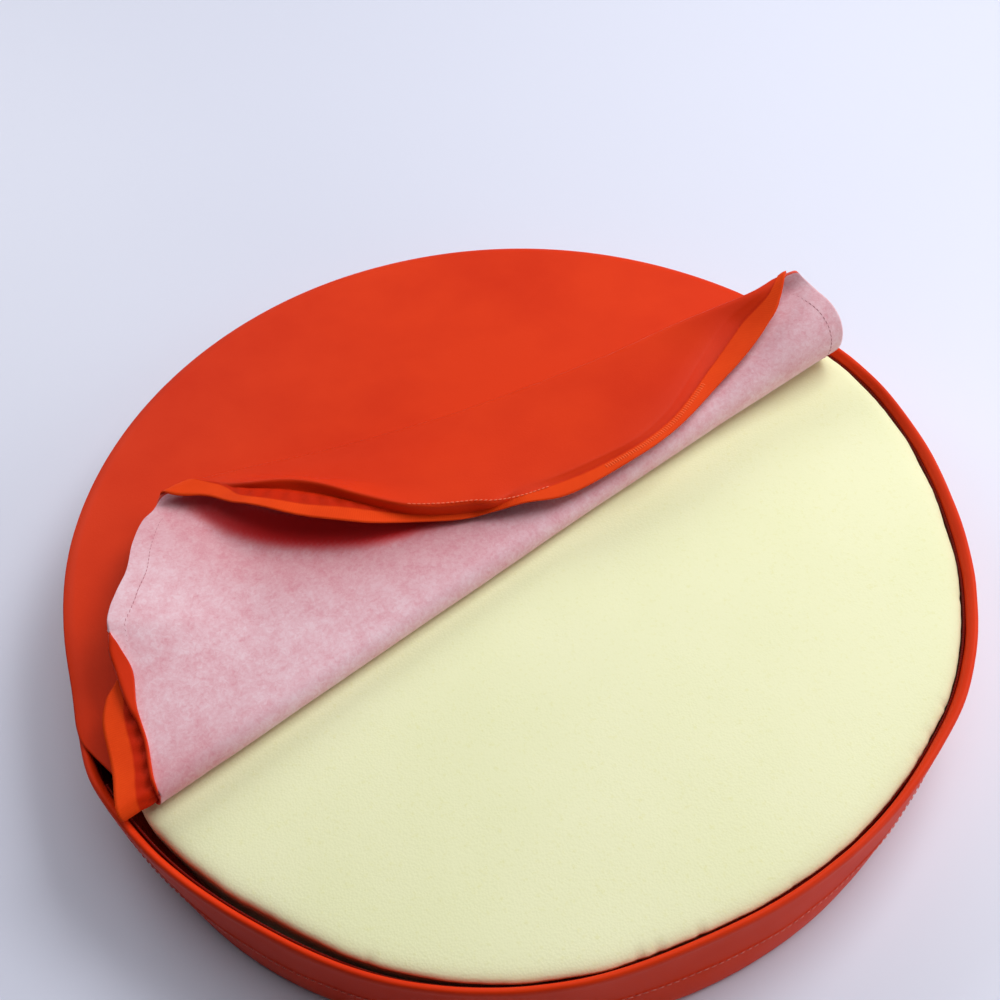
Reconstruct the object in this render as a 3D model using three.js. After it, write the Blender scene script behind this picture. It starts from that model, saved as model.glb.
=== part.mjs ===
// Round outdoor cushion, half undressed: a foam disc in a zipped leatherette cover
// whose round top panel is thrown back in two folds over its own far half.
// Millimetres, +Z up. The origin is the middle of the underside.
import * as THREE from 'three';

// Driving sizes of the cushion
const COVER_RADIUS = 225;
const CLOTH = 1.4;
const SEAM_GAP = 0.35;
const CROWN = 1.8;

// The flat round top panel, before it is folded
const PANEL_RADIUS = 220.6;
const PANEL_LEVEL = 49.6;
const FOAM_BELOW_PANEL = 1.4;

// The frame of the folds: u runs along the first fold, q runs from the middle of the
// panel towards its loose near edge. The first fold is turned this much from +X.
const FOLD_TURN = THREE.MathUtils.degToRad(35.9);
const ALONG = new THREE.Vector2(Math.cos(FOLD_TURN), Math.sin(FOLD_TURN));
const AWAY = new THREE.Vector2(-Math.sin(FOLD_TURN), Math.cos(FOLD_TURN));

// Rim of the cover seen from above, by compass angle in degrees: how far the side band
// stands out from the nominal circle at its top and at its foot, and how much further
// in the foam lies
const RIM = [
  { angle: 0, out: 5, foot: 0, foamIn: 0 },
  { angle: 25, out: 6.4, foot: 0, foamIn: 0 },
  { angle: 48, out: 3, foot: 0, foamIn: 0 },
  { angle: 66, out: 1.9, foot: 0, foamIn: 0 },
  { angle: 100, out: 2.9, foot: 0, foamIn: 0 },
  { angle: 122, out: 4, foot: 0, foamIn: 0 },
  { angle: 150, out: 3.6, foot: 0, foamIn: 0 },
  { angle: 176, out: 1.7, foot: 0, foamIn: 0 },
  { angle: 192, out: -1.1, foot: 0, foamIn: 0 },
  { angle: 200, out: -1.2, foot: -1, foamIn: 0 },
  { angle: 211, out: 4.5, foot: -0.5, foamIn: 2 },
  { angle: 224, out: 3.2, foot: 0.6, foamIn: 2.5 },
  { angle: 240, out: 1, foot: 3.4, foamIn: 2 },
  { angle: 256, out: 3, foot: 3.6, foamIn: 1 },
  { angle: 272, out: 1, foot: 2.6, foamIn: 0 },
  { angle: 288, out: -3, foot: 1.6, foamIn: 0 },
  { angle: 304, out: -1.5, foot: 0.3, foamIn: 0 },
  { angle: 320, out: 2, foot: -0.8, foamIn: 0 },
  { angle: 333, out: 5.4, foot: 0, foamIn: 0 },
  { angle: 347, out: 6.2, foot: 0, foamIn: 0 },
];

// The zip opening: where it starts and ends round the rim, and over how many degrees
// the sewn corner turns into the open lip
const OPEN_FROM = 206;
const OPEN_TO = 408;
const OPEN_EASE = 7;

// Section of the side band, from the bottom seam up: how far each point lies in from
// the rim and its height, where the panel is sewn on and where the zip lies open
const BAND = [
  { sewnIn: 5.6, sewnZ: 0.7, openIn: 5.6, openZ: 0.7 },
  { sewnIn: 2.6, sewnZ: 0.8, openIn: 2.6, openZ: 0.8 },
  { sewnIn: 1.2, sewnZ: 3.0, openIn: 1.2, openZ: 3.0 },
  { sewnIn: 0.7, sewnZ: 18, openIn: 0.7, openZ: 18 },
  { sewnIn: 0.8, sewnZ: 34, openIn: 0.8, openZ: 34 },
  { sewnIn: 1.2, sewnZ: 45.5, openIn: 0.8, openZ: 45.2 },
  { sewnIn: 1.5, sewnZ: 47.9, openIn: 1.2, openZ: 48.7 },
  { sewnIn: 2.1, sewnZ: 49.0, openIn: 2.5, openZ: 50.1 },
  { sewnIn: 2.8, sewnZ: 49.5, openIn: 3.9, openZ: 49.4 },
  { sewnIn: 3.4, sewnZ: 49.6, openIn: 4.4, openZ: 44.0 },
];
const BAND_STEPS = 120;
const WALL_TOP = 46;

// Lower half of the zip, sewn inside the open lip
const ZIP_IN = 6.1;
const ZIP_THICK = 1.0;
const ZIP_TOP = 48.2;
const ZIP_BOTTOM = 35.5;

// First fold, by place along it: how far it lies beyond the middle, and its radius
const FIRST_FOLD = [
  { u: -230, front: 18.5, radius: 7 },
  { u: -150, front: 18.8, radius: 6 },
  { u: 0, front: 19, radius: 5.6 },
  { u: 65, front: 19.5, radius: 6.6 },
  { u: 130, front: 21, radius: 10 },
  { u: 165, front: 23, radius: 14 },
  { u: 190, front: 25, radius: 18 },
  { u: 225, front: 27.5, radius: 22.5 },
];

// Second fold: the two places on the rim that it joins, as angles in the fold frame,
// and from its left end to its right end how far it bows and its radius
const SECOND_LEFT = 127.9;
const SECOND_RIGHT = 22.8;
const SECOND_FOLD = [
  { part: 0, front: 0, radius: 3.6 },
  { part: 0.05, front: 3.5, radius: 3.6 },
  { part: 0.1, front: 1, radius: 3.6 },
  { part: 0.16, front: -2, radius: 3.6 },
  { part: 0.27, front: -9, radius: 3.6 },
  { part: 0.38, front: -13, radius: 3.6 },
  { part: 0.48, front: -15.5, radius: 3.6 },
  { part: 0.6, front: -15.5, radius: 3.8 },
  { part: 0.72, front: -13, radius: 4 },
  { part: 0.84, front: -7, radius: 4.4 },
  { part: 0.95, front: -4.5, radius: 4.8 },
  { part: 1, front: 0, radius: 5 },
];

// How high the loose edge of the upper layer stands off the layer under it
const EDGE_LIFT = [
  { part: 0, lift: 0 },
  { part: 0.12, lift: 12 },
  { part: 0.2, lift: 9 },
  { part: 0.38, lift: 5 },
  { part: 0.55, lift: 2.5 },
  { part: 0.75, lift: 2 },
  { part: 1, lift: 0 },
];
const LIFT_REACH = 40;

// Waves in the left edge of the middle layer, by rim angle in the fold frame
const LEFT_WAVE = [
  { rim: 115, lift: 0 },
  { rim: 127.9, lift: 2 },
  { rim: 134, lift: 7 },
  { rim: 141, lift: 12 },
  { rim: 149, lift: 13 },
  { rim: 152, lift: 10 },
  { rim: 156, lift: 5.5 },
  { rim: 162, lift: 2 },
  { rim: 168, lift: 0 },
  { rim: 200, lift: 0 },
];
const WAVE_REACH = 75;
const WAVE_START = 30;

// Rim of the panel by rim angle in the fold frame: how far its edge is turned in
const RIM_TURNED = [
  { rim: -90, turned: 0 },
  { rim: -14, turned: 0 },
  { rim: -6, turned: 3 },
  { rim: 5, turned: 1.5 },
  { rim: 14, turned: -2.5 },
  { rim: 22, turned: -2 },
  { rim: 26, turned: 1 },
  { rim: 32, turned: 8 },
  { rim: 40, turned: 11 },
  { rim: 49, turned: 14 },
  { rim: 56, turned: 18.5 },
  { rim: 63, turned: 24 },
  { rim: 71, turned: 26 },
  { rim: 79, turned: 25 },
  { rim: 86, turned: 23 },
  { rim: 92, turned: 23.5 },
  { rim: 97, turned: 25.5 },
  { rim: 103, turned: 26.5 },
  { rim: 109, turned: 24 },
  { rim: 115, turned: 20 },
  { rim: 121, turned: 15 },
  { rim: 128, turned: 11 },
  { rim: 134, turned: 14.3 },
  { rim: 141, turned: 14 },
  { rim: 145, turned: 9.5 },
  { rim: 150, turned: 6.3 },
  { rim: 152.5, turned: 10.5 },
  { rim: 156, turned: 15.3 },
  { rim: 161, turned: 14.5 },
  { rim: 166, turned: 15 },
  { rim: 171, turned: 12.3 },
  { rim: 175, turned: 10 },
  { rim: 186, turned: 3 },
  { rim: 192, turned: 0 },
  { rim: 270, turned: 0 },
];

// Zip tape on the loose edge, by rim angle in the fold frame: where its two long edges
// lie, measured outwards from the panel's edge
const TAPE = [
  { rim: -11, inner: -15, outer: -1.5 },
  { rim: 18, inner: -15, outer: -1.5 },
  { rim: 24, inner: -5, outer: 9 },
  { rim: 40, inner: -3.5, outer: 11 },
  { rim: 60, inner: -3.5, outer: 11 },
  { rim: 70, inner: -5, outer: 9.5 },
  { rim: 79, inner: -8.5, outer: 6 },
  { rim: 86, inner: -9.5, outer: 5 },
  { rim: 94, inner: -5.5, outer: 9 },
  { rim: 104, inner: -2.5, outer: 12.5 },
  { rim: 113, inner: -3.5, outer: 11 },
  { rim: 119, inner: -7.5, outer: 7 },
  { rim: 126.5, inner: -15, outer: -0.8 },
  { rim: 147, inner: -16, outer: -2 },
  { rim: 156, inner: -2.5, outer: 15 },
  { rim: 174.5, inner: -2.5, outer: 15 },
  { rim: 177.5, inner: -6, outer: 1 },
  { rim: 179, inner: -6, outer: 0 },
];
const TAPE_THICK = 1.1;
const TAPE_GAP = 0.95;

// Colours and finishes
const RED_LEATHERETTE = { color: 0xd8401f, roughness: 0.5, metalness: 0 };
const ORANGE_TAPE = { color: 0xe2571c, roughness: 0.8, metalness: 0 };
const DARK_TAPE = { color: 0x7a1410, roughness: 0.85, metalness: 0 };
const YELLOW_FOAM = { color: 0xeeeec4, roughness: 0.95, metalness: 0 };

const degrees = THREE.MathUtils.degToRad;

function ease(t) {
  return THREE.MathUtils.smoothstep(t, 0, 1);
}

// Reads one column of a table at a place, rising and falling softly between its rows
function read(table, place, column, at) {
  const last = table.length - 1;
  if (at <= table[0][place]) return table[0][column];
  if (at >= table[last][place]) return table[last][column];
  let row = 0;
  while (table[row + 1][place] < at) row += 1;
  const slope = (k) => {
    const before = table[Math.max(k - 1, 0)];
    const after = table[Math.min(k + 1, last)];
    return (after[column] - before[column]) / (after[place] - before[place]);
  };
  const here = table[row];
  const next = table[row + 1];
  const span = next[place] - here[place];
  const t = (at - here[place]) / span;
  const rise = t * t * (3 - 2 * t);
  const leave = t * (1 - t) * (1 - t) * span * slope(row);
  const arrive = t * t * (t - 1) * span * slope(row + 1);
  return here[column] + (next[column] - here[column]) * rise + leave + arrive;
}

// The rim table goes round: its first and last rows are repeated one turn on
const RIM_ROUND = [
  ...RIM.slice(-2).map((row) => ({ ...row, angle: row.angle - 360 })),
  ...RIM,
  ...RIM.slice(0, 2).map((row) => ({ ...row, angle: row.angle + 360 })),
];

function turn(angle) {
  return ((angle % 360) + 360) % 360;
}

function coverRadius(angle) {
  return COVER_RADIUS + read(RIM_ROUND, 'angle', 'out', turn(angle));
}

function footRadius(angle) {
  return COVER_RADIUS + read(RIM_ROUND, 'angle', 'foot', turn(angle));
}

// Radius of the upright wall of the cushion, leaning from its foot to its top
function wallRadius(angle, z) {
  return THREE.MathUtils.lerp(footRadius(angle), coverRadius(angle), ease(z / WALL_TOP));
}

// One where the zip lies open, nothing where the panel is sewn to the side band
function openness(angle) {
  const past = turn(angle - OPEN_FROM);
  const whole = OPEN_TO - OPEN_FROM;
  if (past > whole) return 0;
  return ease(past / OPEN_EASE) * ease((whole - past) / OPEN_EASE);
}

// Mesh helpers: a shell is a list of points and a list of triangles
function meshOf(name, points, triangles, finish) {
  const geometry = new THREE.BufferGeometry();
  const flat = points.flatMap((p) => [p.x, p.y, p.z]);
  geometry.setAttribute('position', new THREE.Float32BufferAttribute(flat, 3));
  geometry.setIndex(triangles.flat());
  geometry.computeVertexNormals();
  const mesh = new THREE.Mesh(geometry, new THREE.MeshStandardMaterial(finish));
  mesh.name = name;
  return mesh;
}

function quad(a, b, c, d) {
  return [[a, b, c], [a, c, d]];
}

// Sweeps closed sections, each a loop of points, into a skin. A round sweep joins its
// last section to its first, and an open one is closed with a fan at each end.
function sweep(name, sections, round, finish) {
  const size = sections[0].length;
  const points = sections.flat();
  const triangles = [];
  const spans = round ? sections.length : sections.length - 1;
  for (let k = 0; k < spans; k += 1) {
    const here = k * size;
    const next = ((k + 1) % sections.length) * size;
    for (let j = 0; j < size; j += 1) {
      const side = (j + 1) % size;
      triangles.push(...quad(here + j, next + j, next + side, here + side));
    }
  }
  if (!round) {
    const end = (sections.length - 1) * size;
    for (let j = 1; j < size - 1; j += 1) {
      triangles.push([0, j, j + 1]);
      triangles.push([end, end + j + 1, end + j]);
    }
  }
  return meshOf(name, points, triangles, finish);
}

// Gives a line of points a thickness: out along one side and back along the other
function thicken(line, thickness) {
  const normals = line.map((_, k) => {
    const before = line[Math.max(k - 1, 0)];
    const after = line[Math.min(k + 1, line.length - 1)];
    const along = new THREE.Vector2().subVectors(after, before).normalize();
    return new THREE.Vector2(along.y, -along.x);
  });
  const offset = (side) => line.map((p, k) => p.clone().addScaledVector(normals[k], side));
  return [...offset(thickness / 2), ...offset(-thickness / 2).reverse()];
}

function atCompass(radius, angle, z) {
  const a = degrees(angle);
  return new THREE.Vector3(radius * Math.cos(a), radius * Math.sin(a), z);
}

// Side band: one strip sewn into a ring, its top edge rolled in as a lip at the zip
function bandSection(angle) {
  const open = openness(angle);
  const line = BAND.map((row) => {
    const z = THREE.MathUtils.lerp(row.sewnZ, row.openZ, open);
    const inwards = THREE.MathUtils.lerp(row.sewnIn, row.openIn, open);
    return new THREE.Vector2(wallRadius(angle, z) - inwards, z);
  });
  return thicken(line, CLOTH).map((p) => atCompass(p.x, angle, p.y));
}

function makeBoxing() {
  const sections = [];
  for (let k = 0; k < BAND_STEPS; k += 1) sections.push(bandSection((k * 360) / BAND_STEPS));
  return sweep('boxing', sections, true, RED_LEATHERETTE);
}

// Lower zip half: a narrow tape standing inside the open lip
const RIM_TAPE_STEPS = 56;

function makeRimTape() {
  const from = OPEN_FROM + OPEN_EASE;
  const to = OPEN_TO - OPEN_EASE;
  const sections = [];
  for (let k = 0; k <= RIM_TAPE_STEPS; k += 1) {
    const angle = from + ((to - from) * k) / RIM_TAPE_STEPS;
    const line = [ZIP_BOTTOM, ZIP_TOP].map((z) => (
      new THREE.Vector2(wallRadius(angle, z) - ZIP_IN, z)));
    sections.push(thicken(line, ZIP_THICK).map((p) => atCompass(p.x, angle, p.y)));
  }
  return sweep('rim_tape', sections, false, DARK_TAPE);
}

// Height of the middle of the panel's cloth where it lies on the foam
function panelHeight(x, y) {
  const share = (x * x + y * y) / (PANEL_RADIUS * PANEL_RADIUS);
  return PANEL_LEVEL + CROWN * (1 - Math.min(share, 1));
}

// A disc skinned ring by ring, from a pole on its underside to a pole on its top
function disc(name, rings, steps, finish) {
  const points = [];
  const triangles = [];
  rings.forEach((ring) => {
    for (let k = 0; k < steps; k += 1) points.push(ring((k * 360) / steps));
  });
  for (let r = 0; r < rings.length - 1; r += 1) {
    for (let k = 0; k < steps; k += 1) {
      const next = (k + 1) % steps;
      triangles.push(...quad(r * steps + k, r * steps + next,
        (r + 1) * steps + next, (r + 1) * steps + k));
    }
  }
  const centre = (ring) => {
    const sum = new THREE.Vector3();
    for (let k = 0; k < steps; k += 1) sum.addScaledVector(points[ring * steps + k], 1 / steps);
    return sum;
  };
  const bottom = points.push(centre(0)) - 1;
  const top = points.push(centre(rings.length - 1)) - 1;
  const last = (rings.length - 1) * steps;
  for (let k = 0; k < steps; k += 1) {
    const next = (k + 1) % steps;
    triangles.push([bottom, next, k]);
    triangles.push([top, last + k, last + next]);
  }
  return meshOf(name, points, triangles, finish);
}

// Foam core: a crowned disc with eased edges, kept clear of the lip by a named inset
const FOAM_INSET = 7.3;
const FOAM_BOTTOM = CLOTH + SEAM_GAP;
const FOAM_STEPS = 90;
const FOAM_FOOT = [
  { inset: 7, up: 0 },
  { inset: 2, up: 1.6 },
  { inset: 0, up: 7 },
  { inset: 0, up: 30 },
];
const FOAM_EDGE = [
  { inset: 0, down: 8 },
  { inset: 1.6, down: 3.2 },
  { inset: 5.5, down: 0.9 },
  { inset: 12, down: 0 },
];
const FOAM_TOP_RINGS = [0.8, 0.55, 0.28];

function foamRadius(angle, z) {
  return wallRadius(angle, z) - FOAM_INSET - read(RIM_ROUND, 'angle', 'foamIn', turn(angle));
}

function foamTop(radius, angle, lower) {
  const p = atCompass(radius, angle, 0);
  return new THREE.Vector3(p.x, p.y, panelHeight(p.x, p.y) - FOAM_BELOW_PANEL - lower);
}

function makeFoam() {
  const footRings = FOAM_FOOT.map((row) => (angle) => {
    const z = FOAM_BOTTOM + row.up;
    return atCompass(foamRadius(angle, z) - row.inset, angle, z);
  });
  const edgeRings = FOAM_EDGE.map((row) => (angle) => {
    const z = PANEL_LEVEL - FOAM_BELOW_PANEL - row.down;
    return foamTop(foamRadius(angle, z) - row.inset, angle, row.down);
  });
  const topRings = FOAM_TOP_RINGS.map((share) => (angle) => (
    foamTop(foamRadius(angle, WALL_TOP) * share, angle, 0)));
  return disc('foam', [...footRings, ...edgeRings, ...topRings], FOAM_STEPS, YELLOW_FOAM);
}

// Bottom panel: a plain round of the same cloth, sewn to the foot of the side band
function makeBottomPanel() {
  const inset = BAND[0].sewnIn + SEAM_GAP;
  const rings = [0, CLOTH].map((z) => (angle) => atCompass(footRadius(angle) - inset, angle, z));
  return disc('bottom_panel', rings, BAND_STEPS, RED_LEATHERETTE);
}

// The folded top panel

// A place on the flat panel, by rim angle in the fold frame, where its edge lies
function edgeRadius(rim) {
  const at = rim < -90 ? rim + 360 : rim;
  return PANEL_RADIUS - read(RIM_TURNED, 'rim', 'turned', at);
}

function onRim(rim, beyond = 0) {
  const radius = edgeRadius(rim) + beyond;
  return new THREE.Vector2(radius * Math.cos(degrees(rim)), radius * Math.sin(degrees(rim)));
}

function rimAngle(p) {
  return THREE.MathUtils.radToDeg(Math.atan2(p.y, p.x));
}

const SECOND_START = onRim(SECOND_LEFT);
const SECOND_END = onRim(SECOND_RIGHT);
const SECOND_LENGTH = SECOND_START.distanceTo(SECOND_END);
const SECOND_ALONG = new THREE.Vector2().subVectors(SECOND_END, SECOND_START).normalize();
const SECOND_ACROSS = new THREE.Vector2(-SECOND_ALONG.y, SECOND_ALONG.x);

// Second fold: the tip of the flap turns back towards its fleecy side. Gives the place
// on the flap that the cloth comes to lie over and its height off it on the red side.
function turnTip(flat) {
  const from = new THREE.Vector2().subVectors(flat, SECOND_START);
  const part = from.dot(SECOND_ALONG) / SECOND_LENGTH;
  const beyond = from.dot(SECOND_ACROSS) - read(SECOND_FOLD, 'part', 'front', part);
  const radius = read(SECOND_FOLD, 'part', 'radius', part);
  const angle = (beyond + radius) / radius;
  if (angle <= 0) return { place: flat, off: 0 };
  const straight = Math.max(angle - Math.PI, 0) * radius;
  const bent = Math.min(angle, Math.PI);
  const reach = radius * (Math.sin(bent) - 1) - straight;
  const lift = read(EDGE_LIFT, 'part', 'lift', part) * ease(straight / LIFT_REACH);
  const place = flat.clone().addScaledVector(SECOND_ACROSS, reach - beyond);
  return { place, off: -radius * (1 - Math.cos(bent)) - lift };
}

function firstFold(u) {
  const radius = read(FIRST_FOLD, 'u', 'radius', u);
  return { radius, start: read(FIRST_FOLD, 'u', 'front', u) - radius };
}

function waveLift(place, past) {
  const rim = rimAngle(place);
  const inside = PANEL_RADIUS - place.length();
  const near = 1 - ease(inside / WAVE_REACH);
  return read(LEFT_WAVE, 'rim', 'lift', rim) * near * ease(past / WAVE_START);
}

// The sewn part of the panel follows the uneven rim of the side band, from this radius out
const FOLLOW_FROM = 130;
const FOLLOW_REACH = 90;

function followRim(x, y) {
  const radius = Math.hypot(x, y);
  const angle = turn(THREE.MathUtils.radToDeg(Math.atan2(y, x)));
  const sewn = 1 - openness(angle);
  const pull = read(RIM_ROUND, 'angle', 'out', angle) * sewn
    * ease((radius - FOLLOW_FROM) / FOLLOW_REACH);
  const scale = (radius + pull) / Math.max(radius, 1);
  return new THREE.Vector2(x * scale, y * scale);
}

// Where a place of the flat panel comes to lie: first the tip is turned back, then
// the flap is rolled over the first fold, then all of it is set on the foam. The turned
// tip lies level and does not follow the first fold down.
function folded(flat) {
  const { place, off } = turnTip(flat);
  const turned = off !== 0;
  const fold = firstFold(place.x);
  const past = place.y - fold.start;
  const angle = turned ? Math.PI : THREE.MathUtils.clamp(past / fold.radius, 0, Math.PI);
  const level = past - Math.PI * fold.radius;
  const straight = turned ? level : Math.max(level, 0);
  let away = -fold.start - fold.radius * Math.sin(angle) + straight;
  if (past <= 0 && !turned) away = -place.y;
  away += off * Math.sin(angle);
  const rise = fold.radius * (1 - Math.cos(angle)) + off * Math.cos(angle);
  const lift = waveLift(place, straight);
  let x = place.x * ALONG.x + away * AWAY.x;
  let y = place.x * ALONG.y + away * AWAY.y;
  if (past <= 0 && !turned) {
    const sewn = followRim(x, y);
    x = sewn.x;
    y = sewn.y;
  }
  return new THREE.Vector3(x, y, panelHeight(x, y) + rise + lift);
}

// The red side's direction at a place of the flat panel
const PROBE = 0.4;

function redSide(flat) {
  const step = (du, dq) => folded(new THREE.Vector2(flat.x + du, flat.y + dq));
  const across = step(PROBE, 0).sub(step(-PROBE, 0));
  const down = step(0, PROBE).sub(step(0, -PROBE));
  return down.cross(across).normalize();
}

// Rows of the panel, from the far edge to the tip. Each row crosses the panel from its
// left rim to its right rim, and keeps to the folds where it runs through one.
const BASE_ROWS = 12;
const FIRST_FOLD_ROWS = 9;
const MIDDLE_ROWS = 18;
const SECOND_FOLD_ROWS = 7;
const TIP_ROWS = 12;
const ACROSS = [0, 0.012, 0.036, 0.07, 0.11, 0.16, 0.22, 0.28, 0.34, 0.4, 0.46, 0.52,
  0.58, 0.64, 0.7, 0.76, 0.82, 0.87, 0.91, 0.95, 0.98, 1];

function rowFromRim(left, right) {
  const a = onRim(left);
  const b = onRim(right);
  return ACROSS.map((s) => new THREE.Vector2().lerpVectors(a, b, s));
}

// A row that follows the curve q(u) across the panel: its ends slide on to the rim
const SLIDE_PASSES = 24;

function rowAlong(curve) {
  const end = (side) => {
    let u = side * PANEL_RADIUS;
    for (let pass = 0; pass < SLIDE_PASSES; pass += 1) {
      const q = curve(u);
      const radius = edgeRadius(rimAngle(new THREE.Vector2(u, q)));
      u = side * Math.sqrt(Math.max(radius * radius - q * q, 0));
    }
    return u;
  };
  const left = end(-1);
  const right = end(1);
  return ACROSS.map((s) => {
    const u = THREE.MathUtils.lerp(left, right, s);
    return new THREE.Vector2(u, curve(u));
  });
}

function throughFirstFold(angle) {
  return rowAlong((u) => {
    const fold = firstFold(u);
    return fold.start + fold.radius * angle;
  });
}

// A row through the second fold lies at one angle of its bend
function throughSecondFold(angle) {
  return rowAlong((u) => {
    let across = 0;
    for (let pass = 0; pass < SLIDE_PASSES; pass += 1) {
      const along = (u - SECOND_START.x - across * SECOND_ACROSS.x) / SECOND_ALONG.x;
      const part = along / SECOND_LENGTH;
      const radius = read(SECOND_FOLD, 'part', 'radius', part);
      across = read(SECOND_FOLD, 'part', 'front', part) + radius * (angle - 1);
    }
    const along = (u - SECOND_START.x - across * SECOND_ACROSS.x) / SECOND_ALONG.x;
    return SECOND_START.y + along * SECOND_ALONG.y + across * SECOND_ACROSS.y;
  });
}

// Rows between two given rows: their ends slide along the rim
function rowsBetween(first, second, count) {
  const last = ACROSS.length - 1;
  const rows = [];
  const chord = (row, s) => new THREE.Vector2().lerpVectors(row[0], row[last], s);
  for (let k = 1; k <= count; k += 1) {
    const t = k / (count + 1);
    const slide = (j) => THREE.MathUtils.lerp(rimAngle(first[j]), rimAngle(second[j]), t);
    const straight = rowFromRim(slide(0), slide(last));
    rows.push(straight.map((p, j) => {
      const bowFirst = first[j].clone().sub(chord(first, ACROSS[j]));
      const bowSecond = second[j].clone().sub(chord(second, ACROSS[j]));
      return p.clone().add(bowFirst.lerp(bowSecond, t));
    }));
  }
  return rows;
}

function panelRows() {
  const rows = [];
  const last = ACROSS.length - 1;
  const firstStart = throughFirstFold(0);
  const leftEnd = rimAngle(firstStart[0]);
  const rightEnd = rimAngle(firstStart[last]);
  for (let k = 1; k <= BASE_ROWS; k += 1) {
    const t = k / (BASE_ROWS + 1);
    rows.push(rowFromRim(THREE.MathUtils.lerp(270, leftEnd, t),
      THREE.MathUtils.lerp(-90, rightEnd, t)));
  }
  for (let k = 0; k <= FIRST_FOLD_ROWS; k += 1) {
    rows.push(throughFirstFold((Math.PI * k) / FIRST_FOLD_ROWS));
  }
  const secondStart = throughSecondFold(0);
  rows.push(...rowsBetween(rows[rows.length - 1], secondStart, MIDDLE_ROWS));
  for (let k = 0; k <= SECOND_FOLD_ROWS; k += 1) {
    rows.push(throughSecondFold((Math.PI * k) / SECOND_FOLD_ROWS));
  }
  const secondEnd = rows[rows.length - 1];
  const leftTip = rimAngle(secondEnd[0]);
  const rightTip = rimAngle(secondEnd[last]);
  const tip = (leftTip + rightTip) / 2;
  for (let k = 1; k <= TIP_ROWS; k += 1) {
    const t = k / (TIP_ROWS + 1);
    rows.push(rowFromRim(THREE.MathUtils.lerp(leftTip, tip, t),
      THREE.MathUtils.lerp(rightTip, tip, t)));
  }
  return { rows, tip };
}

function panelSides(flat) {
  const middle = folded(flat);
  const red = redSide(flat);
  return {
    red: middle.clone().addScaledVector(red, CLOTH / 2),
    fleece: middle.clone().addScaledVector(red, -CLOTH / 2),
  };
}

function makeTopPanel() {
  const { rows, tip } = panelRows();
  const width = ACROSS.length;
  const farPole = panelSides(onRim(-90));
  const tipPole = panelSides(onRim(tip));
  const grid = rows.flat().map(panelSides);
  const count = grid.length;
  const points = [...grid.map((p) => p.red), ...grid.map((p) => p.fleece),
    farPole.red, farPole.fleece, tipPole.red, tipPole.fleece];
  const [farRed, farFleece, tipRed, tipFleece] = [0, 1, 2, 3].map((k) => 2 * count + k);
  const triangles = [];
  for (let r = 0; r < rows.length - 1; r += 1) {
    const here = r * width;
    const next = here + width;
    for (let j = 0; j < width - 1; j += 1) {
      triangles.push(...quad(here + j, next + j, next + j + 1, here + j + 1));
      triangles.push(...quad(count + here + j, count + here + j + 1,
        count + next + j + 1, count + next + j));
    }
    const end = width - 1;
    triangles.push(...quad(here, count + here, count + next, next));
    triangles.push(...quad(here + end, next + end, count + next + end, count + here + end));
  }
  const lastRow = (rows.length - 1) * width;
  for (let j = 0; j < width - 1; j += 1) {
    triangles.push([farRed, j, j + 1]);
    triangles.push([farFleece, count + j + 1, count + j]);
    triangles.push([tipRed, lastRow + j + 1, lastRow + j]);
    triangles.push([tipFleece, count + lastRow + j, count + lastRow + j + 1]);
  }
  const end = width - 1;
  triangles.push(...quad(farRed, farFleece, count, 0));
  triangles.push(...quad(farRed, end, count + end, farFleece));
  triangles.push(...quad(lastRow, count + lastRow, tipFleece, tipRed));
  triangles.push(...quad(lastRow + end, tipRed, tipFleece, count + lastRow + end));
  return meshOf('top_panel', points, triangles, RED_LEATHERETTE);
}

// Upper zip half: a tape sewn along the flap's loose edge on its red side
const TAPE_STOPS = [
  { from: -11, to: 3, steps: 3 },
  { from: 3, to: 19, steps: 9 },
  { from: 19, to: 29, steps: 20 },
  { from: 29, to: 116, steps: 20 },
  { from: 116, to: 121, steps: 3 },
  { from: 121, to: 132, steps: 22 },
  { from: 132, to: 168, steps: 18 },
  { from: 168, to: 179, steps: 12 },
];
const TAPE_ACROSS = [0, 0.2, 0.4, 0.6, 0.8, 1];

function tapeSection(rim) {
  const inner = read(TAPE, 'rim', 'inner', rim);
  const outer = read(TAPE, 'rim', 'outer', rim);
  const off = CLOTH / 2 + TAPE_GAP;
  const lines = TAPE_ACROSS.map((share) => {
    const flat = onRim(rim, THREE.MathUtils.lerp(inner, outer, share));
    const middle = folded(flat);
    const red = redSide(flat);
    return {
      near: middle.clone().addScaledVector(red, off),
      far: middle.clone().addScaledVector(red, off + TAPE_THICK),
    };
  });
  return [...lines.map((l) => l.far), ...lines.map((l) => l.near).reverse()];
}

function makeFlapTape() {
  const sections = [];
  TAPE_STOPS.forEach(({ from, to, steps }, stop) => {
    for (let k = stop === 0 ? 0 : 1; k <= steps; k += 1) {
      sections.push(tapeSection(from + ((to - from) * k) / steps));
    }
  });
  return sweep('flap_tape', sections, false, ORANGE_TAPE);
}

const cushion = new THREE.Group();
cushion.add(makeBottomPanel());
cushion.add(makeBoxing());
cushion.add(makeFoam());
cushion.add(makeRimTape());
cushion.add(makeTopPanel());
cushion.add(makeFlapTape());

export default cushion;
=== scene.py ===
import math

import bmesh
import bpy
from mathutils import Matrix, Vector, noise


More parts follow.
